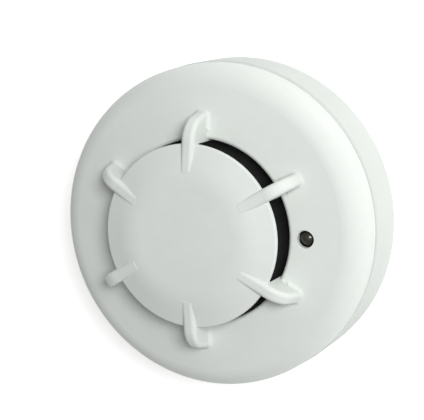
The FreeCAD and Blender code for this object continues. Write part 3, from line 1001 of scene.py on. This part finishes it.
@dataclass
class Probe:
    """Thermistor: a teardrop of resin on two leads that spread to the board."""

    palette: Palette
    board: Board
    name: str
    node: str
    bead_radius: float
    centre: float
    neck: float
    spread_end: float
    place: Matrix
    lead_radius: float = 0.3
    close_pitch: float = 0.72

    def bead(self) -> None:
        """Build the bead."""
        neck_radius = self.close_pitch / 2 + self.lead_radius * 1.5
        profile = [
            (0.0, self.neck),
            (neck_radius * 0.82, self.neck),
            (neck_radius, self.neck + 0.12),
            (neck_radius * 1.08, self.neck + (self.centre - self.neck) * 0.3),
            *dome(self.bead_radius, self.bead_radius, self.centre, -28.0, 18),
        ]
        piece = Piece(self.name + "_bead", Body.HEAD, self.palette)
        piece.add(Form.lathe(profile, 40), "sensor_resin", [self.place])
        piece.finish("sensor_resin", self.node)

    def leads(self) -> None:
        """Build the leads."""
        pitch = self.board.thermistor_pitch
        piece = Piece(self.name + "_leads", Body.HEAD, self.palette)
        for side in (-0.5, 0.5):
            path = [
                (0.0, side * pitch, self.board.lead_end),
                (0.0, side * pitch, self.spread_end - 0.15),
                (0.0, side * (pitch - 0.06), self.spread_end),
                (0.0, side * (self.close_pitch + 0.06), self.neck - 0.15),
                (0.0, side * self.close_pitch, self.neck),
                (0.0, side * self.close_pitch, self.neck + 0.5),
            ]
            piece.add(Form.wire(path, self.lead_radius), "solder", [self.place])
        piece.finish("sensor_resin", self.node)

    def build(self) -> None:
        """Build the thermistor."""
        self.bead()
        self.leads()


@dataclass
class Capacitor:
    """Surface-mounted electrolytic capacitor: can, moulded foot, printed mark."""

    palette: Palette
    board: Board
    radius: float = 2.5
    height: float = 5.4
    foot_size: float = 4.9
    foot_height: float = 0.8
    groove: float = 0.2
    tab_size: tuple[float, float, float] = (0.9, 0.7, 0.2)

    def can(self) -> Form:
        """Draw the can, rolled in above its foot and crimped at its top.

        Returns:
            The can.
        """
        r, top, foot = self.radius, self.height, self.foot_height * 0.7
        return Form.lathe([
            (0.0, foot), (r - 0.25, foot), (r, foot + 0.25), (r, foot + 0.5),
            (r - self.groove, foot + 0.72), (r - self.groove, foot + 0.88),
            (r, foot + 1.1), (r, top - 0.3), (r - 0.08, top - 0.1), (r - 0.25, top),
            (r - 0.45, top), (r - 0.52, top - 0.06), (0.0, top - 0.06),
        ], 56)

    def moulded_foot(self) -> Form:
        """Mould the square foot, two corners cut off to show the polarity.

        Returns:
            The foot.
        """
        half = self.foot_size / 2
        cut = half * 1.62
        foot = Form.block((self.foot_size, self.foot_size, self.foot_height))
        for side in (-1.0, 1.0):
            foot.sliced((cut / 2, side * cut / 2, 0.0), (1.0, side, 0.0))
        return foot.rounded(0.12).placed(shift(0.0, 0.0, self.foot_height / 2))

    def mark(self) -> Form:
        """Print the half moon over the negative side.

        Returns:
            The mark.
        """
        disc = Form.lathe([
            (0.0, 0.0), (self.radius - 0.6, 0.0), (self.radius - 0.6, 0.02), (0.0, 0.02),
        ])
        disc.sliced((-self.radius * 0.28, 0.0, 0.0), (1.0, 0.0, 0.0))
        return disc.placed(shift(0.0, 0.0, self.height - 0.06))

    def build(self) -> None:
        """Build the capacitor."""
        place = self.board.standing(self.board.capacitor_angle)
        reach = self.foot_size / 2 + 0.1
        tabs = [place @ shift(side * reach, 0.0, self.tab_size[2] / 2) for side in (-1, 1)]
        piece = Piece("capacitor", Body.HEAD, self.palette)
        piece.add(self.can(), "capacitor_can", [place])
        piece.add(self.moulded_foot(), "chip_package", [place])
        piece.add(self.mark(), "ink", [place])
        piece.add(Form.block(self.tab_size, 0.04), "solder", tabs)
        piece.finish("capacitor_can", "smoothing_capacitor")


@dataclass
class Suppressor:
    """Disc varistor dipped in coating, which runs a little way down its leads."""

    palette: Palette
    board: Board
    radius: float = 2.5
    thickness: float = 2.4
    stand: float = 0.3
    lead_radius: float = 0.3

    def disc(self) -> Form:
        """Coat the disc, on edge, with slightly domed faces.

        Returns:
            The disc.
        """
        r, half = self.radius, self.thickness / 2
        angles = [i * math.pi / 14 - math.pi / 2 for i in range(15)]
        rim = [(math.cos(angle), math.sin(angle)) for angle in angles]
        round_end = half * 0.8
        profile = [(0.0, -half), (r * 0.4, -half * 0.99)]
        profile += [(r - round_end + round_end * x, half * 0.94 * z) for x, z in rim]
        profile += [(r * 0.4, half * 0.99), (0.0, half)]
        return Form.lathe(profile, 64).placed(
            shift(0.0, 0.0, self.radius + self.stand) @ turn(90.0, "Y")
        )

    def build(self) -> None:
        """Build the suppressor."""
        place = self.board.standing(self.board.suppressor_angle)
        piece = Piece("suppressor", Body.HEAD, self.palette)
        piece.add(self.disc(), "suppressor_coating", [place])
        below = self.board.lead_end - self.board.top
        sag = [(0.0, 0.15), (0.34, 0.15), (0.4, 0.3), (0.55, 0.75), (0.9, 1.5), (0.0, 1.5)]
        for side in (-0.5, 0.5):
            y = side * self.board.wide_pitch
            offset = side * 0.7
            path = [(0.0, y, below), (0.0, y, 0.05), (offset, y, 0.5), (offset, y, 1.6)]
            piece.add(Form.wire(path, self.lead_radius), "solder", [place])
            piece.add(Form.lathe(sag, 24), "suppressor_coating", [place @ shift(offset, y, 0.3)])
        piece.finish("suppressor_coating", "surge_suppressor")


@dataclass
class LeadedChip:
    """Moulded chip with gull-wing leads."""

    palette: Palette
    board: Board
    name: str
    node: str
    size: tuple[float, float, float]
    leads: int
    place: Matrix
    four_sides: bool = False
    lead_width: float = 0.35
    lead_height: float = 0.15
    lead_reach: float = 1.0

    def package(self) -> Form:
        """Mould the package, with draft to both sides of its parting line.

        Returns:
            The package.
        """
        length, width, height = self.size
        form = Form.block(self.size)
        everything = [*form.bm.verts, *form.bm.edges, *form.bm.faces]
        bmesh.ops.bisect_plane(form.bm, geom=everything, plane_co=(0, 0, 0), plane_no=(0, 0, 1))
        form.drafted(height * 0.4, 1.0 - 0.14 * height / min(length, width))
        rise = self.lead_height / 2 + height / 2
        return form.rounded(0.05, 60.0).placed(shift(0.0, 0.0, rise))

    def lead(self) -> Form:
        """Bend one lead, down and out to its foot, reaching along X.

        Returns:
            The lead.
        """
        t, end, middle = self.lead_height, self.lead_reach, self.size[2] / 2
        return Form.prism([
            (-0.3, middle + t), (0.26, middle + t), (0.4, middle + t - 0.1),
            (0.54, t + 0.12), (0.68, t), (end, t), (end, 0.0), (0.6, 0.0),
            (0.44, 0.1), (0.3, middle - 0.1), (0.2, middle), (-0.3, middle),
        ], self.lead_width)

    def places(self) -> list[Matrix]:
        """Find where the leads stand.

        Returns:
            One place for each lead.
        """
        length, width = self.size[:2]
        quarter_turns = (0.0, 90.0, 180.0, 270.0) if self.four_sides else (90.0, 270.0)
        pitch = length / self.leads
        rows = [(i - (self.leads - 1) / 2) * pitch for i in range(self.leads)]
        return [
            self.place @ turn(angle) @ shift(width / 2, row)
            for angle in quarter_turns for row in rows
        ]

    def build(self) -> None:
        """Build the chip."""
        length, width, height = self.size
        dot = Form.lathe([(0.0, 0.0), (0.28, 0.0), (0.28, 0.012), (0.0, 0.012)], 24)
        corner = shift(
            -length * 0.36, -width * 0.32, self.lead_height / 2 + height
        )
        piece = Piece(self.name, Body.HEAD, self.palette)
        piece.add(self.package(), "chip_package", [self.place])
        piece.add(self.lead(), "solder", self.places())
        piece.add(dot, "legend", [self.place @ corner])
        piece.finish("chip_package", self.node)


@dataclass
class ChipRow:
    """Small two-ended chips on an arc about the sensor."""

    palette: Palette
    board: Board
    name: str
    node: str
    slot: str
    size: tuple[float, float, float]
    count: int
    orbit: float
    core: str
    film: str | None = None
    end_length: float = 0.35

    def places(self) -> list[Matrix]:
        """Find where the chips stand.

        Returns:
            One place for each chip.
        """
        out = shift(self.orbit, 0.0, self.board.top)
        return [spot @ out for spot in self.board.along_arc(self.count)]

    def build(self) -> None:
        """Build the row."""
        length, width, height = self.size
        places = self.places()
        piece = Piece(self.name, Body.HEAD, self.palette)
        core = Form.block((width - 0.05, length - 0.1, height - 0.06), 0.03)
        piece.add(core, self.core, [spot @ shift(0.0, 0.0, height / 2) for spot in places])
        ends = [
            spot @ shift(0.0, side * (length - self.end_length) / 2, height / 2)
            for spot in places for side in (-1, 1)
        ]
        piece.add(Form.block((width, self.end_length, height), 0.06), "solder", ends)
        if self.film:
            film = Form.block((width - 0.15, length - 2 * self.end_length, 0.05), 0.015)
            piece.add(film, self.film, [spot @ shift(0.0, 0.0, height - 0.02) for spot in places])
        piece.finish(self.slot, self.node)


@dataclass
class BoardDetail:
    """Pads, tracks, printed outlines and solder of the board."""

    palette: Palette
    board: Board
    lamp_orbit: float
    track_width: float = 0.45
    ink_width: float = 0.18
    ink_height: float = 0.015
    lamp_ring: float = 3.3

    def holes(self) -> list[Matrix]:
        """Find the small leads' holes.

        Returns:
            Their places on z = 0.
        """
        board = self.board
        near = [shift(0.0, side * board.thermistor_pitch) for side in (-0.5, 0.5)]
        wide = [shift(0.0, side * board.wide_pitch) for side in (-0.5, 0.5)]
        lamp = [shift(self.lamp_orbit) @ spot for spot in wide]
        reference = [board.on_ring(board.reference_angle) @ spot for spot in near]
        suppressor = [board.on_ring(board.suppressor_angle) @ spot for spot in wide]
        return [*near, *lamp, *reference, *suppressor]

    def posts(self) -> list[Matrix]:
        """Find the contact posts.

        Returns:
            Their places on z = 0.
        """
        return [
            turn(angle) @ shift(self.board.post_orbit, self.board.post_offset)
            for angle in self.board.post_angles
        ]

    def pads(self) -> None:
        """Build the pads round every hole, on both faces."""
        rim = self.board.pad_height
        faces = (shift(0.0, 0.0, self.board.top), shift(0.0, 0.0, self.board.bottom - rim))
        small = [(0.32, 0.0), (0.66, 0.0), (0.66, rim), (0.32, rim), (0.32, 0.0)]
        large = [(1.52, 0.0), (2.5, 0.0), (2.5, rim), (1.52, rim), (1.52, 0.0)]
        piece = Piece("board_pads", Body.HEAD, self.palette)
        piece.add(Form.lathe(small, 28), "gilt_pad", [f @ p for f in faces for p in self.holes()])
        piece.add(Form.lathe(large, 48), "gilt_pad", [f @ p for f in faces for p in self.posts()])
        piece.finish("tinned_brass")

    def solder(self) -> None:
        """Build the solder that wets each lead and post."""
        joint = [(0.0, 0.0), (0.62, 0.0), (0.5, 0.1), (0.4, 0.28), (0.34, 0.55), (0.0, 0.6)]
        collar = [(0.0, 0.0), (2.4, 0.0), (2.1, 0.16), (1.75, 0.4), (1.56, 0.7), (0.0, 0.7)]
        under = shift(0.0, 0.0, self.board.bottom - self.board.pad_height) @ turn(180.0, "X")
        over = shift(0.0, 0.0, self.board.top + self.board.pad_height)
        mirrored = [under @ turn(180.0, "X") @ hole @ turn(180.0, "X") for hole in self.holes()]
        piece = Piece("board_solder", Body.HEAD, self.palette)
        piece.add(Form.lathe(joint, 28), "solder", mirrored)
        piece.add(Form.lathe(collar, 48), "solder", [over @ post for post in self.posts()])
        piece.finish("tinned_brass")

    def tracks(self) -> None:
        """Build the tracks, which lie under the lacquer."""
        feed = [(34.0, -7.0), (29.5, -7.0), (27.2, -5.6)]
        branch = [(16.6, 1.0), (18.6, 1.0), (20.0, 2.0), (23.4, 2.0)]
        link = [(12.0, -0.9), (13.4, -0.9), (14.4, 0.1), (15.6, 0.1)]
        height = self.board.pad_height * 0.8
        over = shift(0.0, 0.0, self.board.top)
        under = shift(0.0, 0.0, self.board.bottom - height)
        piece = Piece("board_tracks", Body.HEAD, self.palette)
        for face in (over, under):
            piece.add(
                Form.ribbon(feed, self.track_width * 2, height), "track_mask",
                [face @ turn(angle) for angle in self.board.post_angles],
            )
        spots = self.board.along_arc(self.board.resistor_count)
        piece.add(Form.ribbon(branch, self.track_width, height), "track_mask",
                  [over @ spot for spot in spots])
        piece.add(Form.ribbon(link, self.track_width, height), "track_mask",
                  [over @ spot for spot in spots])
        via = [(0.14, 0.0), (0.42, 0.0), (0.42, height), (0.14, height), (0.14, 0.0)]
        ends = [over @ spot @ shift(23.4, 2.0) for spot in spots]
        ends += [over @ turn(angle) @ shift(27.2, -5.6) for angle in self.board.post_angles]
        piece.add(Form.lathe(via, 20), "gilt_pad", ends)
        piece.finish("board_laminate")

    @staticmethod
    def rectangle(length: float, width: float) -> list[Point]:
        """Path round a rectangle, which ends just past its start."""
        x, y = length / 2, width / 2
        return [(x, -y), (x, y), (-x, y), (-x, -y), (x, -y + 0.01)]

    def outlines(self) -> None:
        """Build the printed outlines round the larger parts."""
        board, ink = self.board, self.ink_height
        piece = Piece("board_legend", Body.HEAD, self.palette)
        for angle, length, width in (
            (board.capacitor_angle, 5.8, 5.8),
            (board.rectifier_angle, 5.6, 6.6),
            (board.transistor_angle, 6.2, 7.2),
            (board.suppressor_angle, 3.2, 5.6),
        ):
            outline = Form.ribbon(self.rectangle(length, width), self.ink_width, ink)
            piece.add(outline, "legend", [board.standing(angle)])
        inner, outer = self.lamp_ring, self.lamp_ring + self.ink_width
        ring = [(inner, 0.0), (outer, 0.0), (outer, ink), (inner, ink), (inner, 0.0)]
        piece.add(Form.lathe(ring, 56), "legend", [shift(self.lamp_orbit, 0.0, board.top)])
        piece.finish("board_laminate")

    def build(self) -> None:
        """Build all the board's detail."""
        self.pads()
        self.solder()
        self.tracks()
        self.outlines()


@dataclass
class Threads:
    """Threads of the screws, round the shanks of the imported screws."""

    palette: Palette
    board: Board
    housing_orbit: float = 39.2
    housing_angles: tuple[float, ...] = (75.0, 195.0, 315.0)
    housing_seat: float = 17.4
    housing_drop: float = 2.4
    housing_thread: tuple[float, float, float, float] = (1.4, 1.62, 1.1, 4.0)
    terminal_place: Point = (26.5, -3.0)
    terminal_seat: float = 7.3
    terminal_drop: float = 1.9
    terminal_thread: tuple[float, float, float, float] = (1.75, 1.9, 0.6, 2.4)

    def housing(self) -> None:
        """Coarse self-tapping thread of the housing screws."""
        piece = Piece("housing_screw_threads", Body.HEAD, self.palette)
        flip = turn(180.0, "X")
        piece.add(
            Form.thread(*self.housing_thread), "screw_steel",
            [turn(angle) @ shift(self.housing_orbit, 0.0, self.housing_seat) @ flip
             @ shift(0.0, 0.0, -self.housing_drop) for angle in self.housing_angles],
        )
        piece.finish("screw_steel")

    def terminal(self) -> None:
        """Fine machine thread of the terminal screws."""
        x, y = self.terminal_place
        piece = Piece("terminal_screw_threads", Body.BASE, self.palette)
        piece.add(
            Form.thread(*self.terminal_thread), "screw_steel",
            [turn(angle) @ shift(x, y, self.terminal_seat - self.terminal_drop)
             for angle in self.board.post_angles],
        )
        piece.finish("screw_steel")

    def build(self) -> None:
        """Build both kinds of thread."""
        self.housing()
        self.terminal()


@dataclass
class HeatDetector:
    """All the detailed pieces, in the order they are built."""

    palette: Palette
    board: Board

    def parts(self) -> list:
        """List the sub-assemblies.

        Returns:
            Each one, ready to build.
        """
        palette, board = self.palette, self.board
        lamp_low, lamp_high = span("indicator_led")
        lamp_orbit = (lamp_low.x + lamp_high.x) / 2
        bead = 1.6
        bead_centre = span("sensing_thermistor")[1].z - bead
        sleeve_top = span("thermistor_sleeve")[1].z
        small_bead = 1.1
        small_centre = span("reference_thermistor")[1].z - small_bead
        return [
            IndicatorLamp(palette, board, lamp_orbit, lamp_high.z),
            Probe(palette, board, "sensing", "sensing_thermistor", bead, bead_centre,
                  sleeve_top + 0.15, sleeve_top - 1.2, Matrix()),
            Probe(palette, board, "reference", "reference_thermistor", small_bead,
                  small_centre, board.top + 1.45, board.top + 0.7,
                  board.on_ring(board.reference_angle)),
            Capacitor(palette, board),
            Suppressor(palette, board),
            LeadedChip(palette, board, "controller_chip", "microcontroller", (7.0, 7.0, 1.1), 8,
                       shift(-11.0, 10.0, board.top), four_sides=True),
            LeadedChip(palette, board, "rectifier_chip", "bridge_rectifier", (5.0, 4.0, 2.3), 2,
                       board.standing(board.rectifier_angle), lead_width=0.8),
            LeadedChip(palette, board, "transistor_chip", "line_transistor", (6.5, 3.5, 1.6), 3,
                       board.standing(board.transistor_angle) @ turn(90.0), lead_width=0.7),
            ChipRow(palette, board, "resistor_row", "chip_resistors", "resistor_body",
                    (2.0, 1.25, 0.5), board.resistor_count, 16.5, "alumina", "resistor_body"),
            ChipRow(palette, board, "capacitor_row", "chip_capacitors", "ceramic_chip",
                    (1.6, 0.8, 0.8), 6, 11.5, "ceramic_chip"),
            BoardDetail(palette, board, lamp_orbit),
            Threads(palette, board),
        ]

    def build(self) -> None:
        """Build every sub-assembly."""
        for part in self.parts():
            part.build()
            LOG.info("finished %s", type(part).__name__)


# ---------------------------------------------------------------------------
# Studio
# ---------------------------------------------------------------------------
@dataclass
class Studio:
    """Floor, lights and the camera's place."""

    distance: float = 0.45
    tilt: float = math.radians(25.6)
    azimuth: float = math.radians(25.0)
    roll: float = math.radians(23.0)
    lens: float = 119.0
    shift: tuple[float, float] = (-0.0792, 0.0068)
    floor_half: float = 6.0
    floor_drop: float = 0.0001

    def axes(self) -> tuple[Vector, Vector, Vector]:
        """Camera axes in the row frame.

        Returns:
            The camera's right, up and backward directions.
        """
        lean = Vector((math.cos(self.azimuth), math.sin(self.azimuth), 0.0))
        side = UP.cross(lean)
        across = lean * math.cos(self.tilt) - UP * math.sin(self.tilt)
        back = lean * math.sin(self.tilt) + UP * math.cos(self.tilt)
        right = across * math.cos(self.roll) - side * math.sin(self.roll)
        up = across * math.sin(self.roll) + side * math.cos(self.roll)
        return right, up, back

    def add_camera(self) -> None:
        """Place the camera."""
        right, up, back = self.axes()
        data = bpy.data.cameras.new("camera")
        data.lens = self.lens
        data.shift_x, data.shift_y = self.shift
        data.clip_start = 0.01
        camera = bpy.data.objects.new("camera", data)
        turn = Matrix((right, up, back)).transposed().to_4x4()
        camera.matrix_world = Matrix.Translation(back * self.distance) @ turn
        bpy.context.scene.collection.objects.link(camera)
        bpy.context.scene.camera = camera

    def add_lamp(self, name: str, direction: Vector, reach: float, size: float, power: float,
                 tint: Colour = (1.0, 1.0, 1.0)) -> None:
        """Add a soft square light that faces the object.

        Args:
            name: the light's name.
            direction: from the object to the light.
            reach: how far away it is, in metres.
            size: its side, in metres.
            power: in watts.
            tint: the light's colour.
        """
        data = bpy.data.lights.new(name, "AREA")
        data.shape = "SQUARE"
        data.size = size
        data.energy = power
        data.color = tint
        lamp = bpy.data.objects.new(name, data)
        toward = direction.normalized()
        lamp.matrix_world = Matrix.Translation(toward * reach) @ (
            toward.to_track_quat("Z", "Y").to_matrix().to_4x4()
        )
        bpy.context.scene.collection.objects.link(lamp)

    def add_world(self) -> None:
        """Even white surroundings."""
        world = bpy.data.worlds.new("surroundings")
        world.use_nodes = True
        back = world.node_tree.nodes["Background"]
        back.inputs["Color"].default_value = (1.0, 1.0, 1.0, 1.0)
        back.inputs["Strength"].default_value = 0.285
        bpy.context.scene.world = world
        bpy.context.scene.view_settings.view_transform = "Standard"

    def add_floor(self) -> None:
        """Lay the floor just under the mounting face."""
        bm = bmesh.new()
        bmesh.ops.create_grid(
            bm, x_segments=1, y_segments=1, size=self.floor_half,
            matrix=shift(0.0, 0.0, -self.floor_drop),
        )
        mesh = bpy.data.meshes.new("floor")
        bm.to_mesh(mesh)
        bm.free()
        mesh.materials.append(StudioFloor().material())
        floor = bpy.data.objects.new("floor", mesh)
        bpy.context.scene.collection.objects.link(floor)

    def build(self) -> None:
        """Set up the whole studio."""
        right, up, back = self.axes()
        self.add_camera()
        self.add_world()
        self.add_floor()
        self.add_lamp("key", right * 0.2 + up * 0.12 + back, 0.9, 0.32, 6.2)


# ---------------------------------------------------------------------------
# Frame nodes
# ---------------------------------------------------------------------------
@dataclass
class Frame:
    """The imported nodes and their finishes."""

    palette: Palette
    packed: dict = field(default_factory=dict)

    def load(self) -> None:
        """Load the frame and give each node the finish of its slot."""
        self.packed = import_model()

    def dress(self) -> None:
        """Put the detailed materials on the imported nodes."""
        for part in self.packed["record"]["subparts"]:
            node = self.packed["nodes"][part["node"]]
            material = self.palette[part["material_slot"]]
            for slot in node.material_slots:
                slot.material = material
            LOG.info("dressed %s in %s", part["node"], part["material_slot"])


def main() -> None:
    """Build the object and its studio."""
    logging.basicConfig(level=logging.INFO, format="%(name)s: %(message)s")
    palette = Palette()
    frame = Frame(palette)
    frame.load()
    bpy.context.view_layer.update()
    palette.build()
    frame.dress()
    HeatDetector(palette, Board.measured()).build()
    Studio().build()


if __name__ == "__main__":
    main()
